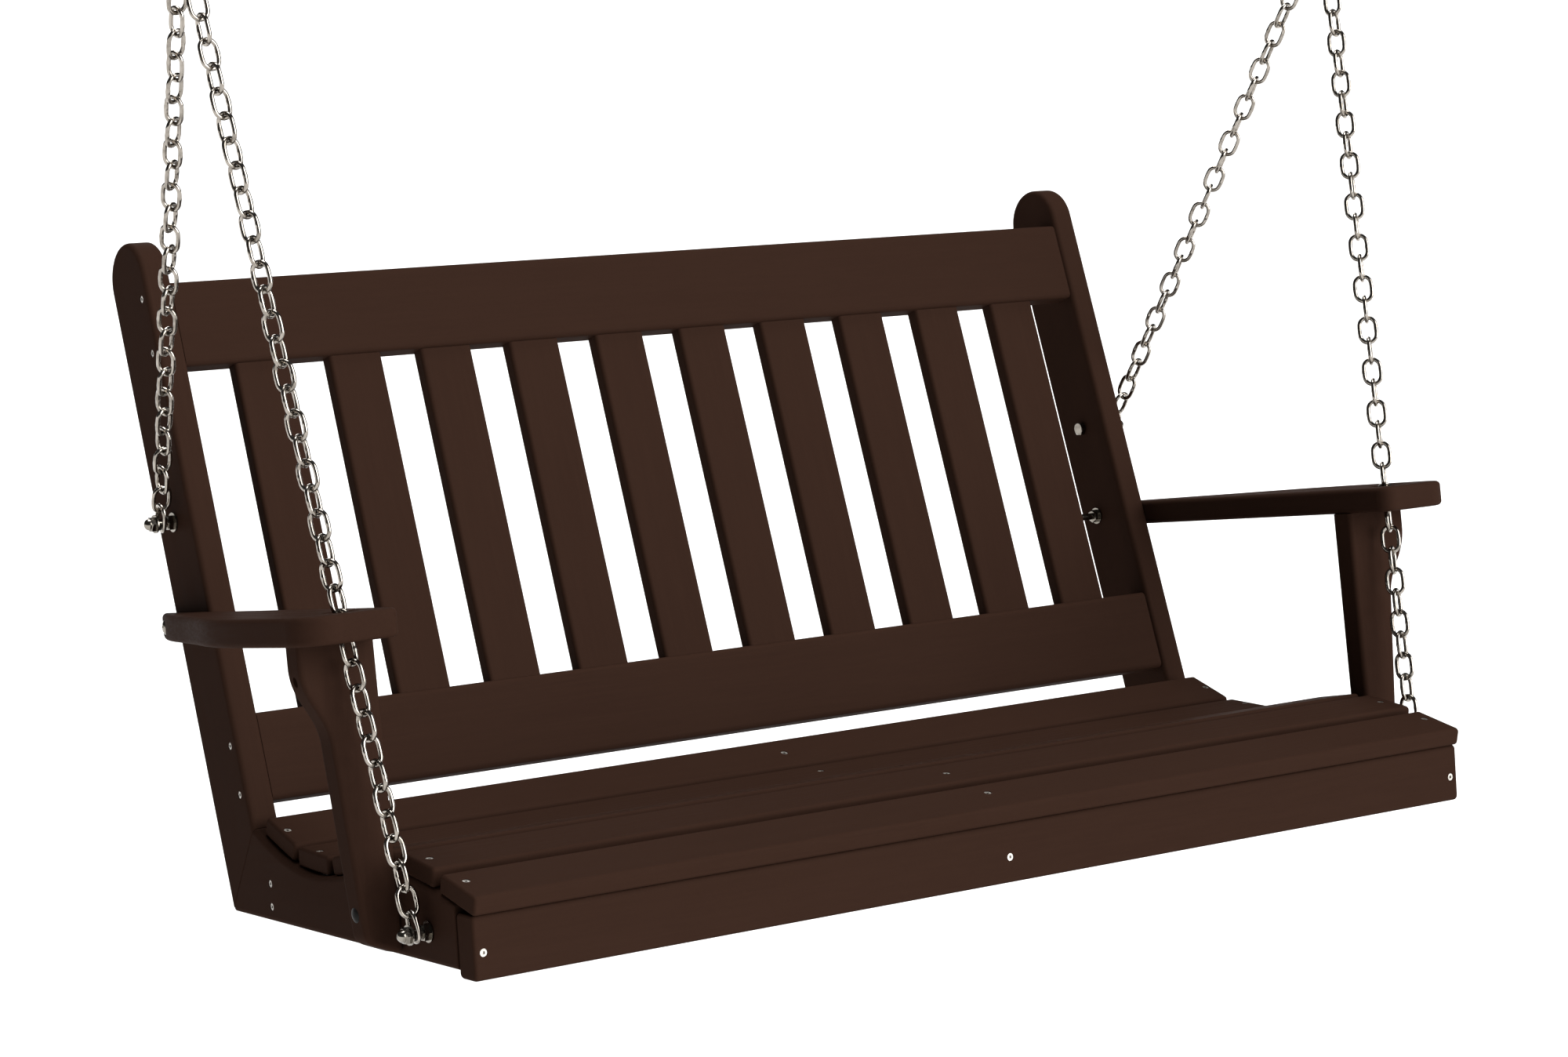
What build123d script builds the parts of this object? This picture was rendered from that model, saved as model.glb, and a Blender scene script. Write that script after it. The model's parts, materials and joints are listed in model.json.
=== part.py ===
from build123d import *
from math import acos, asin, atan, cos, degrees, radians, sin, sqrt
import os

# A porch swing seat of moulded poly lumber, hung on four chains from two ceiling hooks.
#
# The seat is drawn in its own square frame: X to the right along the bench, Y to the back and Z up,
# with Z = 0 at the bottom of the seat sides and Y = 0 a little behind the front apron. It hangs
# tilted back, so hung() carries each plane from there into the part's frame, whose origin is midway
# between the two hooks, on the axis that the seat swings about, with +Z plumb.
# The right-hand sub-parts are modelled, and the left-hand ones are their mirror images.

os.makedirs("parts", exist_ok=True)

# Boards
overall_width = 1219.0
half_width = overall_width / 2  # outer faces of the seat sides and back posts
board = 30.0
inner_face = half_width - board
mid_board = half_width - board / 2
board_edge = 5.5  # radius of the rounded edges
joint_edge = 1.5  # radius of the edges where two boards butt
shortest_butt, longest_butt = 20.0, 110.0
slat_thickness = 19.0
slat_width = 63.5
slat_edge = 4.5
slat_end_edge = 3.5

# Seat sides, seat slats and apron
side_front_y, side_rear_y = -12.0, 449.0
scoop = ((-45, 52.5), (95, 79.5), (265, 56.5), (390, 89.4))  # (y, z) along a side's top edge
scoop_slopes = ((1, 0.21), (1, 0), (1, 0), (1, 0.46))
seat_slat_count = 6
first_seat_slat, seat_slat_pitch = 31.5, 74.0  # along the scoop, from its front end
seat_slat_half_length = half_width - 1.0
rear_slats, rear_slat_inset = 3, 6.0
apron_top_z, apron_height = 53.4, 60.4
stretcher_front_y, stretcher_bottom_z, stretcher_height = 345.0, 4.0, 50.0
support_rear_y = 383.0

# Back, measured up the posts' front edges from Z = 0 and square to them
recline = radians(16.45)
post_foot_y = 363.6
post_depth = 82.0
post_height = 718.0
rail_setback = 3.0
rail_height = 90.5
bottom_rail_start, top_rail_start = 119.5, 574.0
back_slat_count, back_slat_pitch = 10, 109.3
back_slat_width = 62.0
back_slat_setback = 5.0  # behind the rails' front faces
tenon, mortise_play = 14.0, 0.2

# Arms, measured back along the arm and down from its top
arm_slope = radians(3.4)
arm_front_y, arm_front_z = 46.0, 328.2
arm_thickness = 27.0
arm_post_setback, arm_post_thickness, arm_post_length = 59.7, 28.0, 296.0
arm_length, arm_width, arm_tip = 499.0, 102.5, 11.0
arm_inner_corner, arm_outer_corner, arm_edge = 16.0, 35.0, 5.2
arm_post_width = 80.0
arm_post_neck, arm_post_neck_down = 53.5, 95.0
arm_post_foot_width, arm_post_foot_rise = 38.5, 16.0
arm_post_inner_corner, arm_post_foot_corner = 6.0, 14.0
chain_hole_radius, chain_hole_edge = 15.0, 3.0

# Screws with flat heads and square sockets
screw_head_radius, screw_head_height = 3.8, 2.8
screw_radius = 2.1
screw_sink = 0.6  # how far a head is driven below the face
screw_play = 0.06
socket_width, socket_depth = 2.8, 1.7

# Bolts, nuts and washers
chain_bolt_radius, arm_bolt_radius = 4.7, 3.9
bolt_play = 0.3
thread_play = 0.05
chain_nut_width, chain_bolt_head, chain_bolt_length = 14.2, 6.0, 58.0
flange_nut_height, flange_radius, flange_thickness = 8.0, 10.0, 1.8
washer_radius, washer_thickness = 9.5, 1.6
cap_nut_hexagon, cap_nut_height, cap_nut_bore, cap_radius = 5.5, 11.2, 7.0, 6.2
cap_nut_out = 631.2
arm_bolt_out, arm_bolt_length = 633.0, 79.0
arm_bolt_head_radius, arm_bolt_rim, arm_bolt_rise = 9.0, 1.2, 4.8
arm_nut_width, arm_nut_height = 13.0, 6.5
front_bolt_at, rear_bolt_at, arm_bolt_at = (38.0, 30.0), (523.0, 392.0), (504.0, 288.0)  # (y, z)
plug_up, plug_radius, plug_rise = 42.0, 7.2, 2.2  # up from the foot of its arm post
plug_stem_radius, plug_stem = 4.0, 12.0

# Chains, rings and hooks
chain_out = 624.0  # X where a chain's lowest link sits on its bolt
chain_wire = 4.5
link_length, link_width = 23.6, 13.7  # of the link's hole
front_links, rear_links = 40, 28
ring_radius, ring_wire = 19.0, 7.0
ring_at = (709.0, 201.0, 961.0)  # in the seat's frame
hook_wire, hook_radius, hook_bend = 9.0, 16.0, 8.0
hook_play = 0.3
hook_lip = 12.0  # degrees that the hook's open end turns up past level
hook_shank, hook_thread, hook_thread_radius, hook_point = 25.0, 55.0, 4.2, 9.0

# How the seat hangs when it is empty: its weight is then plumb under the hooks.
hang_tilt = radians(8.2)
seat_back = Vector(0, cos(hang_tilt), -sin(hang_tilt))
seat_up = Vector(0, sin(hang_tilt), cos(hang_tilt))

# Each ring lies in the plane of its two chains, so it leans out a little at the top.
front_foot, rear_foot = Vector(chain_out, *front_bolt_at), Vector(chain_out, *rear_bolt_at)
ring_axis = (Vector(*ring_at) - front_foot).cross(Vector(*ring_at) - rear_foot).normalized()
ring_lean = atan(-(seat_back * ring_axis.Y + seat_up * ring_axis.Z).Z / ring_axis.X)
ring_drop = ring_radius - ring_wire / 2 - hook_play - hook_wire / 2
hook_out = ring_at[0] + ring_drop * sin(ring_lean)

plumb_drop = Vector(0, 0, -ring_drop * cos(ring_lean))
seat_frame = Plane(
    origin=plumb_drop - seat_back * ring_at[1] - seat_up * ring_at[2],
    x_dir=(1, 0, 0),
    z_dir=seat_up,
)


def hung(plane):
    """The same plane, carried from the seat's square frame to where the seat hangs."""
    return Plane(seat_frame.location * plane.location)


def side_view(x):
    """Seen from the right: local x runs to the back and local y up, at this X."""
    return hung(Plane(origin=(x, 0, 0), x_dir=(0, 1, 0), z_dir=(1, 0, 0)))


def on_post(up, behind):
    """The (y, z) of a point this far up the posts and this far behind their front edges."""
    y = post_foot_y + up * sin(recline) + behind * cos(recline)
    return y, up * cos(recline) - behind * sin(recline)


def on_arm(out, back, down=0.0):
    """A point on the right arm: out from its inner edge, back from its front, down from its top."""
    y = arm_front_y + back * cos(arm_slope) - down * sin(arm_slope)
    return half_width + out, y, arm_front_z - back * sin(arm_slope) - down * cos(arm_slope)


def place(point, direction):
    """Where a fastener goes: its axis along direction, and its head's top or its base at the point."""
    return hung(Plane(origin=point, z_dir=direction)).location


def outward(side, x, at):
    """A fastener's place at this X on one side, +1 for the right, facing away from the bench."""
    return hung(Plane(origin=(side * x, *at), x_dir=(0, 1, 0), z_dir=(side, 0, 0))).location


def sunk(point, direction):
    """A screw's place, with its head driven a little below the face at this point."""
    direction = Vector(*direction).normalized()
    return place(Vector(*point) - direction * screw_sink, direction)


def write(name, sub_part):
    sub_part.label = name
    export_step(sub_part, f"parts/{name}.step")


def write_pair(name, right):
    """Writes a right-hand sub-part, and its mirror image for the left."""
    write(f"right_{name}", right)
    with BuildPart() as left:
        mirror(right, about=Plane.YZ)
    write(f"left_{name}", left.part)


def screw_body(length, play=0.0, clearance=0.0):
    """A wood screw with its head's top at Z = 0, or with play and clearance, the hole drilled for it."""
    shank, head = screw_radius + play, screw_head_radius + play
    with BuildPart(mode=Mode.PRIVATE) as body:
        with BuildSketch(Plane.XZ):
            with BuildLine():
                Polyline(
                    (0, clearance),
                    (head, clearance),
                    (head, -0.8),
                    (shank, -screw_head_height),
                    (shank, 4 - length),
                    (0.4, -length),
                    (0, -length),
                    close=True,
                )
            make_face()
        revolve(axis=Axis.Z)
    return body.part


def drill_screws(places, length, pocket=1.0):
    """Drills the part being built for screws of this length, with a pocket out past their heads."""
    with Locations(*places):
        add(screw_body(length, screw_play, pocket), mode=Mode.SUBTRACT)


def drill(places, radius, depth):
    """Drills the part being built from each place, along its Z."""
    with Locations(*places):
        Cylinder(radius, depth, align=(Align.CENTER, Align.CENTER, Align.MIN), mode=Mode.SUBTRACT)


def round_board(sub_part):
    """Rounds a side board's long edges, and breaks the short ones where it butts another board."""
    rim = sub_part.faces().filter_by(Axis.X).edges()
    fillet(rim.filter_by(lambda edge: edge.length > longest_butt), board_edge)
    rim = sub_part.faces().filter_by(Axis.X).edges()
    fillet(rim.filter_by(lambda edge: shortest_butt < edge.length < longest_butt), joint_edge)


def write_screws(name, places, length):
    """Writes one node of identical screws."""
    with BuildPart() as screws:
        with Locations(*places):
            add(screw_body(length))
        with Locations(*places):
            Box(
                socket_width,
                socket_width,
                socket_depth,
                align=(Align.CENTER, Align.CENTER, Align.MAX),
                mode=Mode.SUBTRACT,
            )
    write(name, screws.part)


# ---- Where things go

with BuildLine() as scoop_line:
    Spline(*scoop, tangents=scoop_slopes)
scoop_edge = scoop_line.edge()

slat_planes = []  # underneath each seat slat: local x to the back, local y out of its face
for number in range(seat_slat_count):
    centre = first_seat_slat + number * seat_slat_pitch
    rest = slat_width / 2 - slat_edge
    front = scoop_edge.position_at(centre - rest, position_mode=PositionMode.LENGTH)
    rear = scoop_edge.position_at(centre + rest, position_mode=PositionMode.LENGTH)
    middle, along = (front + rear) / 2, (rear - front).normalized()
    inset = rear_slat_inset if number >= seat_slat_count - rear_slats else 0.0
    slat_planes.append(
        Plane(
            origin=(inset - seat_slat_half_length, middle.X, middle.Y),
            x_dir=(0, along.X, along.Y),
            z_dir=(1, 0, 0),
        )
    )

slat_screw_length = 45.0
first_slat_screw_shift = 8.0  # the first slat's screws miss the apron behind it
slat_screw_places = []
for number, plane in enumerate(slat_planes):
    shift = first_slat_screw_shift if number == 0 else 0.0
    for x in (-mid_board, 0, mid_board):
        head = plane.origin + plane.x_dir * shift + plane.y_dir * slat_thickness
        slat_screw_places.append(sunk((x, head.Y, head.Z), plane.y_dir))

apron_screw_length = 60.0
apron_screw_places = [
    sunk((x, side_front_y - board, 19.0), (0, -1, 0)) for x in (-mid_board - 4, 0, mid_board + 4)
]

stretcher_screw_length = 75.0
stretcher_mid_y = stretcher_front_y + board / 2
stretcher_screw_places = [sunk((0, stretcher_front_y + board, z), (0, 1, 0)) for z in (16.0, 40.0)]
for side in (1, -1):
    for z in (15.0, 38.0):
        stretcher_screw_places.append(outward(side, half_width - screw_sink, (stretcher_mid_y, z)))

rail_screw_length = 75.0
rail_screw_places = [
    outward(side, half_width - screw_sink, on_post(up, rail_setback + 12.0))
    for side in (1, -1)
    for up in (131.0, 181.0, 593.0, 651.0)
]

post_screw_length = 75.0
post_screw_places = [
    sunk((side * mid_board, *on_post(up, post_depth)), (0, 1, 0))
    for side in (1, -1)
    for up in (42.0, 66.0)
]

arm_post_screw_length = 62.0
arm_post_mid_back = arm_post_setback + arm_post_thickness / 2
arm_post_screw_places = [
    place((side * (inner_face + screw_sink), *on_arm(0, arm_post_mid_back, down)[1:]), (-side, 0, 0))
    for side in (1, -1)
    for down in (arm_thickness + arm_post_length - 28, arm_thickness + arm_post_length - 60)
]

arm_screw_length = 64.0
arm_screw_pocket = 8.0
arm_screw_places = []
for side in (1, -1):
    x, y, z = on_arm(76.0, arm_post_mid_back, 58.0)
    arm_screw_places.append(sunk((side * x, y, z), (side * 0.6, 0, -0.8)))

chain_bolts_at = [(side, at) for side in (1, -1) for at in (front_bolt_at, rear_bolt_at)]
bolt_places = [outward(side, inner_face, at) for side, at in chain_bolts_at]
flange_nut_places = [outward(side, half_width, at) for side, at in chain_bolts_at]
cap_nut_places = [outward(side, cap_nut_out, at) for side, at in chain_bolts_at]
chain_washer_places = [outward(side, cap_nut_out - washer_thickness, at) for side, at in chain_bolts_at]
arm_bolt_places = [outward(side, inner_face, arm_bolt_at) for side in (1, -1)]
arm_bolt_seats = [outward(side, arm_bolt_out, arm_bolt_at) for side in (1, -1)]
arm_washer_places = [place((side * inner_face, *arm_bolt_at), (-side, 0, 0)) for side in (1, -1)]
arm_nut_places = [
    place((side * (inner_face - washer_thickness), *arm_bolt_at), (-side, 0, 0)) for side in (1, -1)
]
foot_to_neck = Vector(
    arm_post_neck - arm_post_foot_width,
    arm_post_length - arm_post_foot_rise - arm_post_neck_down,
)
plug_lean = foot_to_neck.X / foot_to_neck.Y
plug_x, plug_y, plug_z = on_arm(
    arm_post_foot_width + (plug_up - arm_post_foot_rise) * plug_lean,
    arm_post_mid_back,
    arm_thickness + arm_post_length - plug_up,
)
plug_places = []
plug_hole_places = []
for side in (1, -1):
    plug_at = Vector(side * plug_x, plug_y, plug_z)
    plug_out = Vector(side, -plug_lean * sin(arm_slope), -plug_lean * cos(arm_slope)).normalized()
    plug_places.append(place(plug_at, plug_out))
    plug_hole_places.append(place(plug_at - plug_out * (plug_stem + 0.5), plug_out))

# ---- Seat slats, apron and stretcher

seat_slats = []
for number, plane in enumerate(slat_planes, start=1):
    with BuildPart() as seat_slat:
        with BuildSketch(hung(plane)):
            RectangleRounded(slat_width, slat_thickness, slat_edge, align=(Align.CENTER, Align.MIN))
        extrude(amount=-2 * plane.origin.X)
        fillet(seat_slat.faces().filter_by(Axis.X).edges(), slat_end_edge)
        drill_screws(slat_screw_places[3 * number - 3 : 3 * number], slat_screw_length)
    write(f"seat_slat_{number}", seat_slat.part)
    seat_slats.append(seat_slat.part)

with BuildPart() as front_apron:
    with BuildSketch(side_view(-seat_slat_half_length)):
        with Locations((side_front_y - board / 2, apron_top_z - apron_height / 2)):
            RectangleRounded(board, apron_height, board_edge)
    extrude(amount=2 * seat_slat_half_length)
    fillet(front_apron.faces().filter_by(Axis.X).edges(), slat_end_edge)
    drill_screws(apron_screw_places, apron_screw_length)
write("front_apron", front_apron.part)

with BuildPart() as rear_seat_stretcher:
    with BuildSketch(side_view(-inner_face)):
        with Locations((stretcher_mid_y, stretcher_bottom_z + stretcher_height / 2)):
            RectangleRounded(board, stretcher_height, board_edge)
    extrude(amount=2 * inner_face)
    drill_screws(stretcher_screw_places, stretcher_screw_length)
    drill_screws(slat_screw_places, slat_screw_length)
write("rear_seat_stretcher", rear_seat_stretcher.part)

# ---- Seat sides and centre support, under the slats

scoop_rear_y, scoop_rear_z = scoop[-1]
with BuildSketch() as side_profile:
    with BuildLine():
        Spline(*scoop, tangents=scoop_slopes)
        Polyline(
            (scoop_rear_y, scoop_rear_z),
            (side_rear_y, 0),
            (scoop[0][0], 0),
            (scoop[0][0], scoop[0][1]),
        )
    make_face()
    with Locations((side_front_y, 0)):
        Rectangle(60, 200, align=(Align.MAX, Align.CENTER), mode=Mode.SUBTRACT)

with BuildPart() as seat_side:
    with BuildSketch(side_view(inner_face)):
        add(side_profile.sketch)
    extrude(amount=board)
    round_board(seat_side)
    for seat_slat_part in seat_slats:
        add(seat_slat_part, mode=Mode.SUBTRACT)
    drill_screws(slat_screw_places, slat_screw_length)
    drill_screws(apron_screw_places, apron_screw_length)
    drill_screws(stretcher_screw_places, stretcher_screw_length)
    drill_screws(post_screw_places, post_screw_length)
    drill_screws(arm_post_screw_places, arm_post_screw_length)
    drill(bolt_places, chain_bolt_radius + bolt_play, board)
write_pair("seat_side", seat_side.part)

with BuildPart() as centre_seat_support:
    with BuildSketch(side_view(-board / 2)):
        add(side_profile.sketch)
        with Locations((support_rear_y, 0)):
            Rectangle(100, 300, align=(Align.MIN, Align.CENTER), mode=Mode.SUBTRACT)
        with Locations((stretcher_front_y, stretcher_bottom_z + stretcher_height)):
            Rectangle(100, 100, align=(Align.MIN, Align.MAX), mode=Mode.SUBTRACT)
    extrude(amount=board)
    for seat_slat_part in seat_slats:
        add(seat_slat_part, mode=Mode.SUBTRACT)
    drill_screws(slat_screw_places, slat_screw_length)
    drill_screws(apron_screw_places, apron_screw_length)
    drill_screws(stretcher_screw_places, stretcher_screw_length)
write("centre_seat_support", centre_seat_support.part)

# ---- Back: posts, rails and slats

post_tip = post_height - post_depth / 2
with BuildPart() as back_post:
    with BuildSketch(side_view(inner_face)):
        with BuildLine():
            Polyline(
                on_post(post_tip, post_depth),
                (side_rear_y, 0),
                (scoop_rear_y, scoop_rear_z),
                on_post(post_tip, 0),
            )
            ThreePointArc(
                on_post(post_tip, 0),
                on_post(post_height, post_depth / 2),
                on_post(post_tip, post_depth),
            )
        make_face()
    extrude(amount=board)
    round_board(back_post)
    drill_screws(post_screw_places, post_screw_length)
    drill_screws(rail_screw_places, rail_screw_length)
    drill(bolt_places, chain_bolt_radius + bolt_play, board)
    drill(arm_bolt_places, arm_bolt_radius + bolt_play, board)
write_pair("back_post", back_post.part)

slat_sections = []
back_slat_start = bottom_rail_start + rail_height - tenon
back_slat_length = top_rail_start + tenon - back_slat_start
slat_front = rail_setback + back_slat_setback
for number in range(back_slat_count):
    x = (number - (back_slat_count - 1) / 2) * back_slat_pitch
    foot = on_post(back_slat_start, slat_front + slat_thickness / 2)
    section = hung(Plane(origin=(x, *foot), x_dir=(1, 0, 0), z_dir=(0, sin(recline), cos(recline))))
    slat_sections.append(section)
    with BuildPart() as back_slat:
        with BuildSketch(section):
            RectangleRounded(back_slat_width, slat_thickness, slat_edge)
        extrude(amount=back_slat_length)
    write(f"back_slat_{number + 1:02}", back_slat.part)


def write_rail(name, start):
    """Writes a back rail with its mortises for the slats."""
    middle = on_post(start + rail_height / 2, rail_setback + board / 2)
    across = (0, cos(recline), -sin(recline))
    with BuildPart() as rail:
        with BuildSketch(hung(Plane(origin=(-inner_face, *middle), x_dir=across, z_dir=(1, 0, 0)))):
            RectangleRounded(board, rail_height, board_edge)
        extrude(amount=2 * inner_face)
        with BuildSketch(*slat_sections):
            RectangleRounded(
                back_slat_width + 2 * mortise_play,
                slat_thickness + 2 * mortise_play,
                slat_edge + mortise_play,
            )
        extrude(amount=back_slat_length, mode=Mode.SUBTRACT)
        drill_screws(rail_screw_places, rail_screw_length)
    write(name, rail.part)


write_rail("bottom_back_rail", bottom_rail_start)
write_rail("top_back_rail", top_rail_start)

# ---- Arms and arm posts

arm_up = (0, sin(arm_slope), cos(arm_slope))
arm_top = Plane(origin=on_arm(0, 0), x_dir=(1, 0, 0), z_dir=arm_up)
front_chain_line = (Vector(*ring_at) - front_foot).normalized()
arm_middle_z = on_arm(0, 40, arm_thickness / 2)[2]
rise_to_arm = (arm_middle_z - front_bolt_at[1]) / front_chain_line.Z
chain_hole = place(front_foot + front_chain_line * rise_to_arm, front_chain_line)

with BuildPart() as arm:
    with BuildSketch(hung(arm_top)):
        with BuildLine():
            Polyline((arm_tip, arm_length), (0, arm_length), (0, 0), (arm_width, 0), (arm_width, 75))
            Spline(
                (arm_width, 75),
                (96.5, 204),
                (62.5, 330),
                (28, 458),
                (arm_tip, arm_length),
                tangents=((0, 1), (-0.45, 1)),
            )
        make_face()
        front_corners = vertices().group_by(Axis.Y)[0].sort_by(Axis.X)
        fillet(front_corners[0], arm_inner_corner)
        fillet(vertices().group_by(Axis.Y)[0].sort_by(Axis.X)[-1], arm_outer_corner)
    extrude(amount=-arm_thickness)
    rims = arm.faces().filter_by(Axis((0, 0, 0), hung(arm_top).z_dir)).edges()
    fillet(rims.filter_by(lambda edge: edge.length > arm_tip + 1), arm_edge)
    with Locations(chain_hole):
        Cylinder(chain_hole_radius, 2 * arm_thickness, mode=Mode.SUBTRACT)
    fillet(arm.edges().filter_by(GeomType.ELLIPSE), chain_hole_edge)
    drill(arm_bolt_places, arm_bolt_radius + bolt_play, 100)
    drill(arm_bolt_seats, arm_bolt_head_radius + bolt_play, 30)
    drill_screws(arm_screw_places, arm_screw_length)
write_pair("arm", arm.part)

arm_post_face = Plane(
    origin=on_arm(0, arm_post_setback, arm_thickness),
    x_dir=(1, 0, 0),
    z_dir=(0, -cos(arm_slope), sin(arm_slope)),
)
with BuildPart() as arm_post:
    with BuildSketch(hung(arm_post_face)):
        with BuildLine():
            Polyline(
                (arm_post_width, -20),
                (arm_post_width, 0),
                (0, 0),
                (0, -arm_post_length),
                (arm_post_foot_width, arm_post_foot_rise - arm_post_length),
                (arm_post_neck, -arm_post_neck_down),
            )
            Spline(
                (arm_post_neck, -arm_post_neck_down),
                (arm_post_width, -20),
                tangents=(foot_to_neck, (0, 1)),
            )
        make_face()
        fillet(vertices().sort_by(Axis.Y)[:2].sort_by(Axis.X)[-1], arm_post_foot_corner)
        fillet(vertices().sort_by(Axis.Y)[0], arm_post_inner_corner)
    extrude(amount=-arm_post_thickness)
    rims = arm_post.faces().filter_by(Axis((0, 0, 0), hung(arm_post_face).z_dir)).edges()
    fillet(rims.filter_by(lambda edge: abs(edge.length - arm_post_width) > 1), arm_edge)
    drill_screws(arm_screw_places, arm_screw_length, arm_screw_pocket)
    drill_screws(arm_post_screw_places, arm_post_screw_length)
    drill(plug_hole_places, plug_stem_radius + thread_play, 30)
write_pair("arm_post", arm_post.part)

# ---- Screws

write_screws("seat_slat_screws", slat_screw_places, slat_screw_length)
write_screws("apron_screws", apron_screw_places, apron_screw_length)
write_screws("stretcher_screws", stretcher_screw_places, stretcher_screw_length)
write_screws("back_rail_screws", rail_screw_places, rail_screw_length)
write_screws("back_post_screws", post_screw_places, post_screw_length)
write_screws("arm_post_screws", arm_post_screw_places, arm_post_screw_length)
write_screws("arm_screws", arm_screw_places, arm_screw_length)

# ---- Bolts, nuts, washers and plugs

STANDING = (Align.CENTER, Align.CENTER, Align.MIN)


def hexagon(width, height):
    """A hexagon across these flats, standing on Z = 0, with its top corners turned off."""
    with BuildPart(mode=Mode.PRIVATE) as body:
        with BuildSketch(Plane.XY):
            RegularPolygon(width / 2, 6, major_radius=False)
        extrude(amount=height)
        with BuildSketch(Plane.XZ):
            with BuildLine():
                Polyline(
                    (0, 0),
                    (width, 0),
                    (width, height - 0.3 * width),
                    (0.46 * width, height),
                    (0, height),
                    close=True,
                )
            make_face()
        revolve(axis=Axis.Z, mode=Mode.INTERSECT)
    return body.part


def dome(radius, rise, base):
    """Half of a shallow dome's profile, from its rim at this height in to its top."""
    ball = (radius**2 + rise**2) / (2 * rise)
    half_turn = asin(radius / ball) / 2
    middle = (ball * sin(half_turn), base + rise - ball + ball * cos(half_turn))
    ThreePointArc((radius, base), middle, (0, base + rise))


def write_washers(name, places, hole_radius):
    """Writes one node of round washers, each standing on its place."""
    with BuildPart() as washers:
        with Locations(*places):
            Cylinder(washer_radius, washer_thickness, align=STANDING)
            Cylinder(hole_radius + thread_play, 3 * washer_thickness, mode=Mode.SUBTRACT)
    write(name, washers.part)


with BuildPart() as chain_bolt:
    with BuildSketch(Plane.XY):
        Circle(chain_bolt_radius)
    extrude(amount=chain_bolt_length)
    chamfer(chain_bolt.edges().sort_by(Axis.Z)[-1], 0.6)
    add(hexagon(chain_nut_width, chain_bolt_head).mirror(Plane.XY))
with BuildPart() as chain_bolts:
    with Locations(*bolt_places):
        add(chain_bolt.part)
write("chain_bolts", chain_bolts.part)

with BuildPart() as flange_nut:
    add(hexagon(chain_nut_width, flange_nut_height))
    Cylinder(flange_radius, flange_thickness, align=STANDING)
    Cylinder(chain_bolt_radius + thread_play, 3 * flange_nut_height, mode=Mode.SUBTRACT)
with BuildPart() as chain_flange_nuts:
    with Locations(*flange_nut_places):
        add(flange_nut.part)
write("chain_flange_nuts", chain_flange_nuts.part)

write_washers("chain_bolt_washers", chain_washer_places, chain_bolt_radius)

cap_base = cap_nut_height - cap_radius
with BuildPart() as cap_nut:
    add(hexagon(chain_nut_width, cap_nut_hexagon))
    with BuildSketch(Plane.XZ):
        with BuildLine():
            Polyline((0, cap_nut_height), (0, 0), (cap_radius, 0), (cap_radius, cap_base))
            CenterArc((0, cap_base), cap_radius, 0, 90)
        make_face()
    revolve(axis=Axis.Z)
    Cylinder(chain_bolt_radius + thread_play, 2 * cap_nut_bore, mode=Mode.SUBTRACT)
with BuildPart() as chain_cap_nuts:
    with Locations(*cap_nut_places):
        add(cap_nut.part)
write("chain_cap_nuts", chain_cap_nuts.part)

with BuildPart() as arm_bolt:
    with BuildSketch(Plane.XZ):
        with BuildLine():
            Polyline(
                (0, arm_bolt_rim + arm_bolt_rise),
                (0, -arm_bolt_length),
                (arm_bolt_radius - 0.6, -arm_bolt_length),
                (arm_bolt_radius, 0.6 - arm_bolt_length),
                (arm_bolt_radius, 0),
                (arm_bolt_head_radius, 0),
                (arm_bolt_head_radius, arm_bolt_rim),
            )
            dome(arm_bolt_head_radius, arm_bolt_rise, arm_bolt_rim)
        make_face()
    revolve(axis=Axis.Z)
with BuildPart() as arm_bolts:
    with Locations(*arm_bolt_seats):
        add(arm_bolt.part)
write("arm_bolts", arm_bolts.part)

write_washers("arm_bolt_washers", arm_washer_places, arm_bolt_radius)

with BuildPart() as arm_nut:
    add(hexagon(arm_nut_width, arm_nut_height))
    Cylinder(arm_bolt_radius + thread_play, 3 * arm_nut_height, mode=Mode.SUBTRACT)
with BuildPart() as arm_bolt_nuts:
    with Locations(*arm_nut_places):
        add(arm_nut.part)
write("arm_bolt_nuts", arm_bolt_nuts.part)

with BuildPart() as plug:
    with BuildSketch(Plane.XZ):
        with BuildLine():
            Polyline(
                (0, plug_rise),
                (0, -plug_stem),
                (plug_stem_radius, -plug_stem),
                (plug_stem_radius, 0),
                (plug_radius, 0),
            )
            dome(plug_radius, plug_rise, 0)
        make_face()
    revolve(axis=Axis.Z)
with BuildPart() as side_plugs:
    with Locations(*plug_places):
        add(plug.part)
write("side_plugs", side_plugs.part)

# ---- Chains, rings and hooks

link_bend = (link_width + chain_wire) / 2
link_straight = (link_length - link_width) / 2
with BuildPart() as link:
    with BuildLine(Plane.YZ) as link_path:
        Line((link_bend, -link_straight), (link_bend, link_straight))
        CenterArc((0, link_straight), link_bend, 0, 180)
        Line((-link_bend, link_straight), (-link_bend, -link_straight))
        CenterArc((0, -link_straight), link_bend, 180, 180)
    with BuildSketch(Plane.XY.offset(-link_straight)):
        with Locations((0, link_bend)):
            Circle(chain_wire / 2)
    sweep()


def write_chain(name, foot, links):
    """Writes both sides' chains of this many links, drawn taut from a bolt to the ring."""
    reach = Vector(*ring_at) - foot
    along = reach.normalized()
    flat = along.cross(ring_axis).normalized()
    taut = reach.length + chain_bolt_radius - (ring_radius - ring_wire / 2)
    slack = (links * link_length - taut) / (links + 1)
    places = []
    for number in range(links):
        middle = link_length / 2 + number * (link_length - slack) - chain_bolt_radius - slack
        facing = flat if number % 2 else flat.cross(along)
        places.append(hung(Plane(origin=foot + along * middle, x_dir=facing, z_dir=along)).location)
    with BuildPart() as chain:
        with Locations(*places):
            add(link.part)
    write_pair(name, chain.part)


write_chain("front_chain", front_foot, front_links)
write_chain("rear_chain", rear_foot, rear_links)

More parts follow.
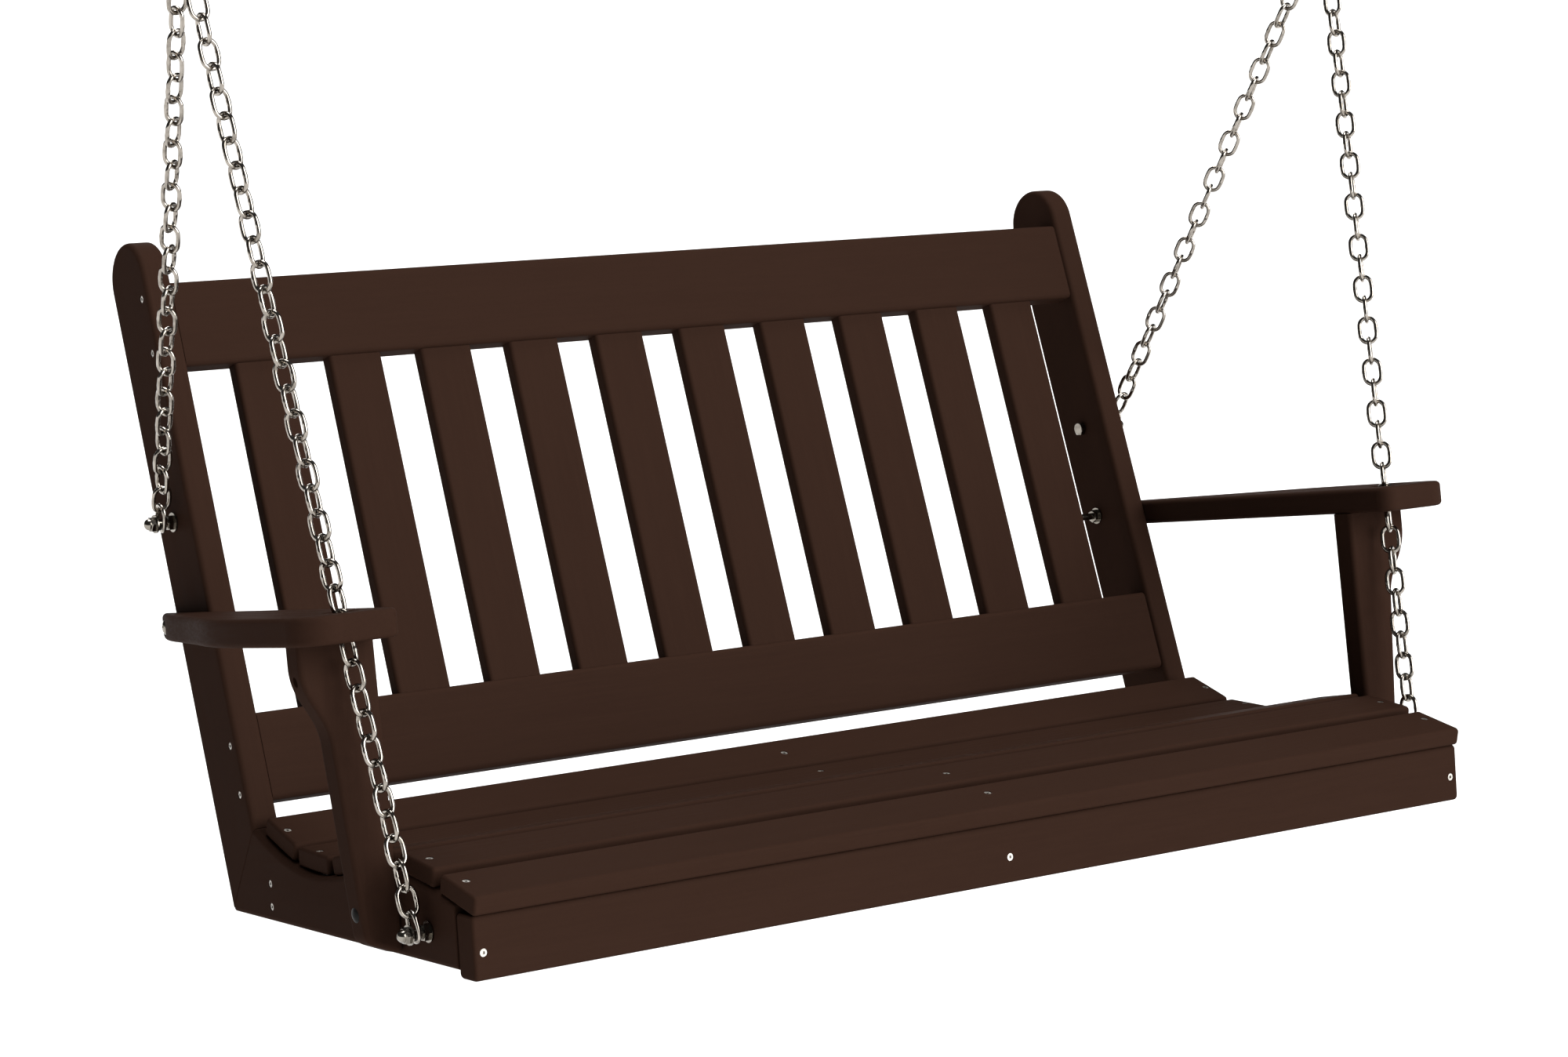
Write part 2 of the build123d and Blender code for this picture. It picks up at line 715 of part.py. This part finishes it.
with BuildPart() as ring:
    with Locations(place(ring_at, ring_axis)):
        Torus(ring_radius, ring_wire / 2)
write_pair("chain_ring", ring.part)

neck_height = hook_radius + sqrt((hook_radius + hook_bend) ** 2 - hook_bend**2)
neck_turn = degrees(acos(hook_bend / (hook_radius + hook_bend)))
thread_start = neck_height + hook_shank
hook_plane = Plane(origin=(hook_out, 0, 0), x_dir=(1, 0, 0), z_dir=(0, -1, 0))
with BuildPart() as ceiling_hook:
    with BuildLine(hook_plane):
        Line((0, thread_start), (0, neck_height))
        CenterArc((-hook_bend, neck_height), hook_bend, 0, -neck_turn)
        CenterArc((0, hook_radius), hook_radius, 180 - neck_turn, 180 + neck_turn + hook_lip)
    with BuildSketch(Plane(origin=(hook_out, 0, thread_start))):
        Circle(hook_wire / 2)
    sweep()
    with BuildSketch(hook_plane):
        with BuildLine():
            Polyline(
                (0, thread_start),
                (hook_thread_radius, thread_start),
                (hook_thread_radius, thread_start + hook_thread),
                (0.4, thread_start + hook_thread + hook_point),
                (0, thread_start + hook_thread + hook_point),
                close=True,
            )
        make_face()
    revolve(axis=Axis((hook_out, 0, 0), (0, 0, 1)))
write_pair("ceiling_hook", ceiling_hook.part)
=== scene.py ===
import json
import math

import bpy
import numpy as np
from mathutils import Matrix, Vector


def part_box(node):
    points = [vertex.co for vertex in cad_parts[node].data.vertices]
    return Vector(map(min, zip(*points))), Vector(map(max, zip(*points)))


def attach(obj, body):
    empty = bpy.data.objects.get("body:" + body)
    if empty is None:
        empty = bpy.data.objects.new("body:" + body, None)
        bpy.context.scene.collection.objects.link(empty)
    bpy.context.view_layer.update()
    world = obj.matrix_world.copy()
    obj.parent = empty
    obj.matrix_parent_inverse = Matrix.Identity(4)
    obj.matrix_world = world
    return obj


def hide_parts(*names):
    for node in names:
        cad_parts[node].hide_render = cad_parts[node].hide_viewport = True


# The looks of a porch swing seat, in metres, in the frame of its CAD model: the origin is midway
# between the two ceiling hooks, +X is to the right along the bench, +Y to the back and +Z up.

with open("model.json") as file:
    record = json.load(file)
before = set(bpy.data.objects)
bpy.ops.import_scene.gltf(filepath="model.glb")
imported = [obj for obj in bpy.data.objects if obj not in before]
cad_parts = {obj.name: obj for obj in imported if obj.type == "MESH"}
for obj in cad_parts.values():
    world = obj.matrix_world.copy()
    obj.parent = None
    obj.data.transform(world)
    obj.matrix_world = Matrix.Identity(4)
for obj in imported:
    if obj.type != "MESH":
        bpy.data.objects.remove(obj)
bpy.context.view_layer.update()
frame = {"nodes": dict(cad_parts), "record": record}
nodes = frame["nodes"]
slot_of = {part["node"]: part["material_slot"] for part in frame["record"]["subparts"]}

# Links, rings and their weld beads
CORNER_DECIMALS = 6  # corners that round to the same metres are one corner of a solid
LINK_END_ROUND = 0.975  # radius of a link's ends, against half its width
SIDE_STEPS, END_STEPS, WIRE_STEPS = 12, 16, 16
RING_STEPS = 96
WELD_SWELL = 0.11  # how much thicker the wire is at its weld
WELD_REACH = 0.0019
LINK_TWIST = math.radians(3.0)  # of each link alone, either way
CHAIN_TWIST = math.radians(38.0)  # of a chain's middle against its ends
CHAIN_SEED = 7

# The ceiling hooks' screw threads
THREAD_LENGTH, THREAD_POINT = 0.055, 0.009
THREAD_PITCH = 0.0036
THREAD_ROOT, THREAD_CREST = 0.0040, 0.0050  # radii
THREAD_TURN_STEPS = 28
THREAD_RIDGE = ((-0.38, 0.0), (-0.06, 1.0), (0.06, 1.0), (0.38, 0.0))  # pitches up, share of its height
THREAD_START = 0.2  # the ridge's height at the shank, against its full height
THREAD_RUN = 0.6  # how much of the screw's point the thread covers
THREAD_TIP = 0.35  # the root's radius where the thread ends, against its full one

# Looks of the boards, the plugs and each steel
BOARD_DARK = (0.0205, 0.0100, 0.0067)
BOARD_LIGHT = (0.0250, 0.0125, 0.0084)
BOARD_DUSTY = (0.0330, 0.0180, 0.0130)
BOARD_SPECULAR = 0.004  # next to none, as the lumber's skin is matte
PLUG_BLACK, PLUG_DUSTY = (0.006, 0.0055, 0.005), (0.02, 0.018, 0.016)
PLUG_SPECULAR = 0.04
STEELS = {  # colour, stain, and roughness where it is smooth and where it is dull
    "screw_steel": ((0.42, 0.40, 0.37), (0.28, 0.26, 0.23), 0.32, 0.5),
    "bolt_steel": ((0.24, 0.22, 0.19), (0.13, 0.115, 0.095), 0.1, 0.26),
    "chain_steel": ((0.33, 0.30, 0.265), (0.18, 0.16, 0.135), 0.08, 0.22),
    "hook_steel": ((0.42, 0.42, 0.41), (0.29, 0.285, 0.27), 0.22, 0.4),
}
LENGTHWISE = 0.7  # a board runs along the bench where this much of its direction is X
GRAIN_SCALE = 0.05  # of the grain along a board, against its scale across it
SCRATCH_SCALE = (1, 0.07, 0.3)
PIECE_SHIFT = (3.1, 2.3, 1.7)  # the most that a piece's textures are shifted by

# The photographer's camera
CAMERA_PLACE = (-2.1772, -3.0891, 0.1037)
CAMERA_TURN, CAMERA_DIP, CAMERA_ROLL = (math.radians(a) for a in (33.08, 10.2, 0.774))
CAMERA_LENS = 83.68
CAMERA_SHIFT = (0.0743, -0.0416)

# The studio
FLOOR_DROP = 0.37  # below the lowest point of the seat
FLOOR_HALF = 60.0
FLOOR_COLOUR = (0.9, 0.9, 0.9)
SKY_COLOUR = (0.06, 0.06, 0.06)
SUNS = {  # strength, the direction that it shines from, and its width in degrees
    "overhead": (3.3, (0.0, 0.26, 0.97), 35),
    "key": (5.3, (0.39, -0.84, 0.375), 55),
    "rim": (0.8, (0.3, 0.8, 0.5), 30),
}


# ---- Reading solids from the frame


def triangles_of(name):
    """A CAD node's triangles, as an array of corners."""
    mesh = nodes[name].data
    mesh.calc_loop_triangles()
    points = np.zeros(3 * len(mesh.vertices))
    mesh.vertices.foreach_get("co", points)
    corners = np.zeros(3 * len(mesh.loop_triangles), int)
    mesh.loop_triangles.foreach_get("vertices", corners)
    return points.reshape(-1, 3)[corners.reshape(-1, 3)]


def separate(triangles):
    """Splits triangles into the separate solids that they close."""
    _, point = np.unique(np.round(triangles.reshape(-1, 3), CORNER_DECIMALS), axis=0, return_inverse=True)
    point = point.reshape(-1, 3)
    label = np.arange(point.max() + 1)
    changed = True
    while changed:
        before = label.copy()
        lowest = label[point].min(axis=1)
        for corner in range(3):
            np.minimum.at(label, point[:, corner], lowest)
        label = label[label]
        changed = (label != before).any()
    owner = label[point[:, 0]]
    return [triangles[owner == one] for one in np.unique(owner)]


def measure(triangles):
    """A solid's centre, its long, wide and thin axes as rows, and its size along each."""
    sides = triangles[:, 1:] - triangles[:, :1]
    area = np.linalg.norm(np.cross(sides[:, 0], sides[:, 1]), axis=1)
    middles = triangles.mean(axis=1)
    centre = (middles * area[:, None]).sum(axis=0) / area.sum()
    scatter = ((middles - centre).T * area) @ (middles - centre)
    long_axis, wide_axis = np.linalg.eigh(scatter)[1].T[:0:-1]
    long_axis = long_axis * (1 if long_axis[2] > 0 else -1)
    wide_axis = wide_axis * (1 if wide_axis[0] > 0 else -1)
    axes = np.array([long_axis, wide_axis, np.cross(long_axis, wide_axis)])
    reach = (triangles.reshape(-1, 3) - centre) @ axes.T
    return centre, axes, reach.max(axis=0) - reach.min(axis=0)


# ---- Making pieces


def new_piece(name, points, faces, body, stands_for=None):
    """A smooth mesh piece that rides on a CAD body, and may stand for one of its nodes."""
    mesh = bpy.data.meshes.new(name)
    mesh.from_pydata(points, [], faces)
    mesh.validate()
    mesh.shade_smooth()
    piece = bpy.data.objects.new(name, mesh)
    bpy.context.scene.collection.objects.link(piece)
    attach(piece, body)
    if stands_for:
        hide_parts(stands_for)
    return piece


def arc(centre, radius, start, end, steps):
    """Points of an arc in a link's own plane (wide, long), without its last one, and its normals."""
    angles = np.linspace(start, end, steps, endpoint=False)
    normals = np.stack([np.cos(angles), np.sin(angles)], axis=1)
    return np.array(centre) + radius * normals, normals


def oval(half_long, half_wide):
    """The closed line of a link's wire: round ends joined by slightly bowed sides."""
    end = LINK_END_ROUND * half_wide
    rise = half_long - end
    side = (half_wide**2 - end**2 + rise**2) / (2 * (half_wide - end))
    lean = math.asin(rise / (side - end))
    offset = side - half_wide
    stretches = [
        arc((-offset, 0), side, -lean, lean, SIDE_STEPS),
        arc((0, rise), end, lean, math.pi - lean, END_STEPS),
        arc((offset, 0), side, math.pi - lean, math.pi + lean, SIDE_STEPS),
        arc((0, -rise), end, math.pi + lean, 2 * math.pi - lean, END_STEPS),
    ]
    return [np.concatenate(parts) for parts in zip(*stretches)]


def welded_wire(line, normals, weld_at, wire):
    """A wire round a closed flat line, as points (long, wide, thin) in rings, with its weld bead."""
    turn = np.linspace(0, 2 * math.pi, WIRE_STEPS, endpoint=False)
    away = np.linalg.norm(line - np.array(weld_at), axis=1)
    radius = wire / 2 * (1 + WELD_SWELL * np.exp(-((away / WELD_REACH) ** 2)))
    out = radius[:, None] * np.cos(turn)
    wide = line[:, :1] + out * normals[:, :1]
    long = line[:, 1:] + out * normals[:, 1:]
    thin = radius[:, None] * np.sin(turn)
    return np.stack([long, wide, thin], axis=-1).reshape(-1, 3)


def ring_faces(rings, start):
    """Quads round a closed tube of this many rings, whose points begin at start."""
    faces = []
    for ring in range(rings):
        here, there = start + ring * WIRE_STEPS, start + (ring + 1) % rings * WIRE_STEPS
        for step in range(WIRE_STEPS):
            after = (step + 1) % WIRE_STEPS
            faces.append((here + step, here + after, there + after, there + step))
    return faces


def make_chain(side, end, random):
    """One chain of welded links, each in the place of its CAD link."""
    cad_chain = f"{side}_{end}_chain"
    solids = separate(triangles_of(cad_chain))
    links = sorted((measure(solid) for solid in solids), key=lambda link: link[0][2])
    points, faces = [], []
    for number, (centre, axes, (length, width, wire)) in enumerate(links):
        line, normals = oval((length - wire) / 2, (width - wire) / 2)
        weld = random.choice((-1, 1)) * (width - wire) / 2
        local = welded_wire(line, normals, (weld, 0), wire)
        twist = CHAIN_TWIST * math.sin(math.pi * number / (len(links) - 1))
        twist += random.uniform(-LINK_TWIST, LINK_TWIST)
        turned = np.array(Matrix.Rotation(twist, 3, Vector(axes[0]))) @ axes.T
        faces += ring_faces(len(line), sum(len(part) for part in points))
        points.append(centre + local @ turned.T)
    return new_piece(f"{cad_chain}_links", np.concatenate(points).tolist(), faces, "seat", cad_chain)


def make_ring(side):
    """The welded ring that joins one side's two chains."""
    cad_ring = f"{side}_chain_ring"
    centre, axes, (length, _, wire) = measure(triangles_of(cad_ring))
    line, normals = arc((0, 0), (length - wire) / 2, 0, 2 * math.pi, RING_STEPS)
    local = welded_wire(line, normals, (0, (wire - length) / 2), wire)
    points = (centre + local @ axes).tolist()
    return new_piece(f"{cad_ring}_welded", points, ring_faces(len(line), 0), "seat", cad_ring)


def make_thread(side):
    """The coarse screw thread on one ceiling hook, from its shank to its point."""
    low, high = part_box(f"{side}_ceiling_hook")
    axis_x = (low.x + high.x) / 2
    bottom = high.z - THREAD_POINT - THREAD_LENGTH
    rise = THREAD_LENGTH + THREAD_RUN * THREAD_POINT
    steps = round(rise / THREAD_PITCH * THREAD_TURN_STEPS)
    points = []
    for step in range(steps + 1):
        angle = 2 * math.pi * step / THREAD_TURN_STEPS
        height = rise * step / steps
        to_tip = (rise - height) / THREAD_POINT
        taper = min(1.0, to_tip, THREAD_START + height / THREAD_PITCH)
        root = min(THREAD_ROOT, THREAD_ROOT * (THREAD_TIP + to_tip))
        for along, out in THREAD_RIDGE:
            radius = root + out * taper * (THREAD_CREST - THREAD_ROOT)
            z = bottom + height + along * THREAD_PITCH
            points.append((axis_x + radius * math.cos(angle), radius * math.sin(angle), z))
    count = len(THREAD_RIDGE)
    faces = []
    for step in range(steps):
        here = step * count
        for edge in range(count):
            after = (edge + 1) % count
            faces.append((here + edge, here + count + edge, here + count + after, here + after))
    faces.append(tuple(reversed(range(count))))
    faces.append(tuple(range(len(points) - count, len(points))))
    return new_piece(f"{side}_hook_thread", points, faces, "ceiling")


# ---- Materials


def new_material(name, **inputs):
    """A material and its Principled shader, with these constants on the shader's own sockets."""
    material = bpy.data.materials.new(name)
    material.use_nodes = True
    shader = material.node_tree.nodes["Principled BSDF"]
    for key, value in inputs.items():
        shader.inputs[key.replace("_", " ")].default_value = value
    return material, shader


def set_input(material, socket, value):
    """Links a socket to another node's socket, or sets it to a constant."""
    if isinstance(value, bpy.types.NodeSocket):
        material.node_tree.links.new(value, socket)
    else:
        socket.default_value = value


def shader_node(material, kind, inputs=(), **properties):
    """A shader node, with its inputs set to constants or linked from other nodes' sockets."""
    made = material.node_tree.nodes.new(kind)
    for key, value in properties.items():
        setattr(made, key, value)
    for key, value in dict(inputs).items():
        set_input(material, made.inputs[key], value)
    return made


def noise(material, place, scale, detail, roughness=0.5):
    """A noise texture's value, from 0 to 1."""
    inputs = {"Vector": place, "Scale": scale, "Detail": detail, "Roughness": roughness}
    return shader_node(material, "ShaderNodeTexNoise", inputs).outputs["Fac"]


def spread(material, value, low, high, to_low, to_high):
    """A value carried from one range to another, and kept inside it."""
    inputs = {"Value": value, "From Min": low, "From Max": high, "To Min": to_low, "To Max": to_high}
    return shader_node(material, "ShaderNodeMapRange", inputs).outputs["Result"]


def blend(material, factor, first, second):
    """A colour between two others."""
    mixer = shader_node(material, "ShaderNodeMix", data_type="RGBA")
    enabled = [socket for socket in mixer.inputs if socket.enabled]
    for socket, value in zip(enabled, (factor, first, second)):
        set_input(material, socket, value)
    return next(socket for socket in mixer.outputs if socket.enabled)


def bump(material, height, distance, strength, below=None):
    """A bump normal, on top of another one if there is one below."""
    inputs = {"Height": height, "Distance": distance, "Strength": strength}
    if below is not None:
        inputs["Normal"] = below
    return shader_node(material, "ShaderNodeBump", inputs).outputs["Normal"]


def mapped(material, place, **inputs):
    """A place turned by a Rotation or stretched by a Scale."""
    return shader_node(material, "ShaderNodeMapping", {"Vector": place, **inputs}).outputs[0]


def connect(material, shader, **sockets):
    """Links values to the shader's inputs."""
    for key, value in sockets.items():
        material.node_tree.links.new(value, shader.inputs[key.replace("_", " ")])


def own_space(material):
    """A piece's own coordinates, shifted by chance on each piece, and the chance number itself."""
    place = shader_node(material, "ShaderNodeTexCoord").outputs["Object"]
    chance = shader_node(material, "ShaderNodeObjectInfo").outputs["Random"]
    scaled = {0: PIECE_SHIFT, "Scale": chance}
    offset = shader_node(material, "ShaderNodeVectorMath", scaled, operation="SCALE").outputs[0]
    moved = shader_node(material, "ShaderNodeVectorMath", {0: place, 1: offset}, operation="ADD")
    return moved.outputs[0], chance


def poly_board(name, along):
    """Moulded lumber, dark brown right through, with a faint grain along the board."""
    material, shader = new_material(name, Specular_IOR_Level=BOARD_SPECULAR)
    place, chance = own_space(material)
    lengthwise = abs(along[0]) > LENGTHWISE
    lean = 0.0 if lengthwise else -math.atan2(along[2], along[1])
    squash = (GRAIN_SCALE, 1, 1) if lengthwise else (1, GRAIN_SCALE, 1)
    grain_place = mapped(material, mapped(material, place, Rotation=(lean, 0, 0)), Scale=squash)

    streaks = noise(material, grain_place, scale=320.0, detail=5.0, roughness=0.62)
    figure = noise(material, grain_place, scale=60.0, detail=3.0)
    cloud = noise(material, place, scale=7.0, detail=2.0)
    speckle = noise(material, place, scale=1500.0, detail=2.0)

    dark, light, dusty = (*BOARD_DARK, 1), (*BOARD_LIGHT, 1), (*BOARD_DUSTY, 1)
    colour = blend(material, spread(material, streaks, 0.35, 0.65, 0.25, 0.75), dark, light)
    colour = blend(material, spread(material, figure, 0.45, 0.72, 0.0, 0.35), colour, dark)
    colour = blend(material, spread(material, cloud, 0.3, 0.7, 0.0, 0.3), colour, light)
    colour = blend(material, spread(material, chance, 0.0, 1.0, 0.0, 0.25), colour, dark)
    colour = blend(material, spread(material, speckle, 0.66, 0.8, 0.0, 0.35), colour, dusty)
    rough = spread(material, streaks, 0.3, 0.7, 0.5, 0.66)
    normal = bump(material, streaks, distance=0.00012, strength=0.45)
    normal = bump(material, speckle, distance=0.00004, strength=0.35, below=normal)
    connect(material, shader, Base_Color=colour, Roughness=rough, Normal=normal)
    return material


def bright_steel(name, colour, stain, smooth, dull):
    """Plated or stainless steel, with stains, worn patches and fine scratches."""
    material, shader = new_material(name, Metallic=1.0)
    place, _ = own_space(material)
    patches = noise(material, place, scale=120.0, detail=4.0, roughness=0.6)
    grit = noise(material, place, scale=1400.0, detail=3.0, roughness=0.6)
    scratch_place = mapped(material, place, Scale=SCRATCH_SCALE)
    scratches = noise(material, scratch_place, scale=2600.0, detail=2.0)

    stained = spread(material, patches, 0.42, 0.7, 0.0, 1.0)
    tint = blend(material, stained, (*colour, 1), (*stain, 1))
    worn = spread(material, patches, 0.35, 0.68, smooth, dull)
    gritty = spread(material, grit, 0.3, 0.7, -0.03, 0.05)
    rough = shader_node(material, "ShaderNodeMath", {0: worn, 1: gritty}, operation="ADD").outputs[0]
    normal = bump(material, grit, distance=0.00005, strength=0.25)
    normal = bump(material, scratches, distance=0.00003, strength=0.3, below=normal)
    connect(material, shader, Base_Color=tint, Roughness=rough, Normal=normal)
    return material


def black_plastic(name):
    """Moulded black plastic, slightly dusty."""
    material, shader = new_material(name, Specular_IOR_Level=PLUG_SPECULAR)
    place, _ = own_space(material)
    dust = noise(material, place, scale=300.0, detail=4.0)
    grain = noise(material, place, scale=1800.0, detail=2.0)
    dusted = spread(material, dust, 0.4, 0.8, 0.0, 0.5)
    colour = blend(material, dusted, (*PLUG_BLACK, 1), (*PLUG_DUSTY, 1))
    rough = spread(material, dust, 0.3, 0.7, 0.28, 0.45)
    normal = bump(material, grain, distance=0.00004, strength=0.3)
    connect(material, shader, Base_Color=colour, Roughness=rough, Normal=normal)
    return material


board_materials = {}


def board_material(name):
    """The lumber whose grain runs the way that this board does."""
    _, axes, _ = measure(triangles_of(name))
    along = axes[0]
    if abs(along[0]) > LENGTHWISE:
        key = "crosswise"
    else:
        key = f"lean_{round(math.degrees(math.atan2(along[2], along[1])))}"
    if key not in board_materials:
        board_materials[key] = poly_board(f"poly_board_{key}", along)
    return board_materials[key]


finishes = {name: bright_steel(name, *look) for name, look in STEELS.items()}
finishes["plug_plastic"] = black_plastic("plug_plastic")


def paint(thing, slot):
    """Gives a piece its material, in place of every slot that its mesh has."""
    material = board_material(thing.name) if slot == "poly_board" else finishes[slot]
    thing.data.materials.clear()
    thing.data.materials.append(material)


for name, thing in nodes.items():
    paint(thing, slot_of[name])

chain_random = np.random.default_rng(CHAIN_SEED)
for side in ("left", "right"):
    new_pieces = [(make_chain(side, end, chain_random), "chain_steel") for end in ("front", "rear")]
    new_pieces.append((make_ring(side), "chain_steel"))
    new_pieces.append((make_thread(side), "hook_steel"))
    for piece, slot in new_pieces:
        paint(piece, slot)


# ---- The studio


def make_floor():
    """A plain pale floor, far larger than the picture."""
    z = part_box("left_seat_side")[0].z - FLOOR_DROP
    corners = [(x * FLOOR_HALF, y * FLOOR_HALF, z) for x, y in ((-1, -1), (1, -1), (1, 1), (-1, 1))]
    mesh = bpy.data.meshes.new("floor")
    mesh.from_pydata(corners, [], [range(len(corners))])
    floor = bpy.data.objects.new("floor", mesh)
    bpy.context.scene.collection.objects.link(floor)
    looks = {"Base_Color": (*FLOOR_COLOUR, 1), "Roughness": 0.9, "Specular_IOR_Level": 0.0}
    material, _ = new_material("pale_floor", **looks)
    mesh.materials.append(material)


def make_sun(name, strength, shines_from, width):
    """A soft light from one direction."""
    lamp = bpy.data.lights.new(name, "SUN")
    lamp.energy = strength
    lamp.angle = math.radians(width)
    light = bpy.data.objects.new(name, lamp)
    light.location = shines_from
    light.rotation_euler = (-Vector(shines_from)).to_track_quat("-Z", "Y").to_euler()
    bpy.context.scene.collection.objects.link(light)


def make_camera():
    """The camera where the photographer stood."""
    camera = bpy.data.objects.new("camera", bpy.data.cameras.new("camera"))
    camera.data.lens = CAMERA_LENS
    camera.data.shift_x, camera.data.shift_y = CAMERA_SHIFT
    turn = Matrix.Rotation(-CAMERA_TURN, 4, "Z") @ Matrix.Rotation(math.pi / 2 - CAMERA_DIP, 4, "X")
    camera.matrix_world = Matrix.Translation(CAMERA_PLACE) @ turn @ Matrix.Rotation(CAMERA_ROLL, 4, "Z")
    bpy.context.scene.collection.objects.link(camera)
    bpy.context.scene.camera = camera


def make_sky():
    """A dim, even light from all round, and colours shown as they are."""
    world = bpy.data.worlds.new("studio")
    world.use_nodes = True
    world.node_tree.nodes["Background"].inputs["Color"].default_value = (*SKY_COLOUR, 1)
    bpy.context.scene.world = world
    bpy.context.scene.view_settings.view_transform = "Standard"


make_floor()
make_camera()
for name, (strength, shines_from, width) in SUNS.items():
    make_sun(name, strength, shines_from, width)
make_sky()
